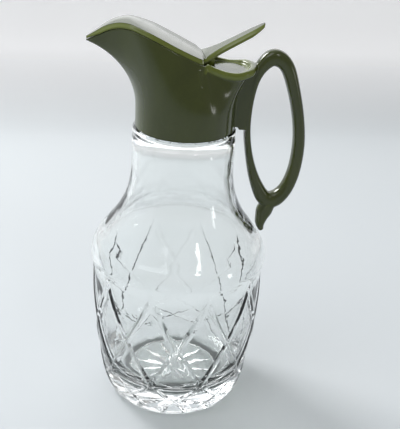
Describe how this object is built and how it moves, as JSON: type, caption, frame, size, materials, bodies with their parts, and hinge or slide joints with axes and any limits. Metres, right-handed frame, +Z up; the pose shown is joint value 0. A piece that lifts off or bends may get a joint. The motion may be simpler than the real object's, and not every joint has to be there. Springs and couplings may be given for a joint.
{
  "type": "syrup jug",
  "caption": "Clear glass syrup jug with a screw-on plastic pouring top, ring handle, and a hinged lid that a thumb lever opens.",
  "frame": {"origin": "middle of the glass foot, on the jar's axis, on the surface the jug stands on", "axes": "+Z up along the jar's axis, the spout towards -X and the handle towards +X, with XZ the plane of symmetry"},
  "size_m": [0.0958, 0.08, 0.1785],
  "materials": {
    "clear_glass": "clear pressed glass with a faint green tint, fire-polished",
    "olive_plastic": "glossy moulded plastic, olive green all through",
    "seal_plastic": "soft off-white sealing ring",
    "pin_steel": "plain drawn steel wire"
  },
  "bodies": {
    "jar": {"glass_jar": "clear_glass"},
    "seal": {"sealing_ring": "seal_plastic"},
    "top": {"pouring_top": "olive_plastic", "hinge_pin": "pin_steel"},
    "flap": {"lid": "olive_plastic"}
  },
  "joints": [
    {"name": "top_lift", "type": "slide", "parent": "jar", "child": "seal", "axis": [0, 0, 1], "range_m": [0, 0.005]},
    {"name": "top_turn", "type": "hinge", "parent": "seal", "child": "top", "pos_m": [0, 0, 0.1331], "axis": [0, 0, 1], "range_deg": [0, 450]},
    {"name": "lid_hinge", "type": "hinge", "parent": "top", "child": "flap", "pos_m": [0.008, 0, 0.1603], "axis": [0, 1, 0], "range_deg": [0, 21]}
  ],
  "couplings": [
    {"joint": "top_lift", "follows": "top_turn", "m_per_rad": 0.0006366}
  ]
}
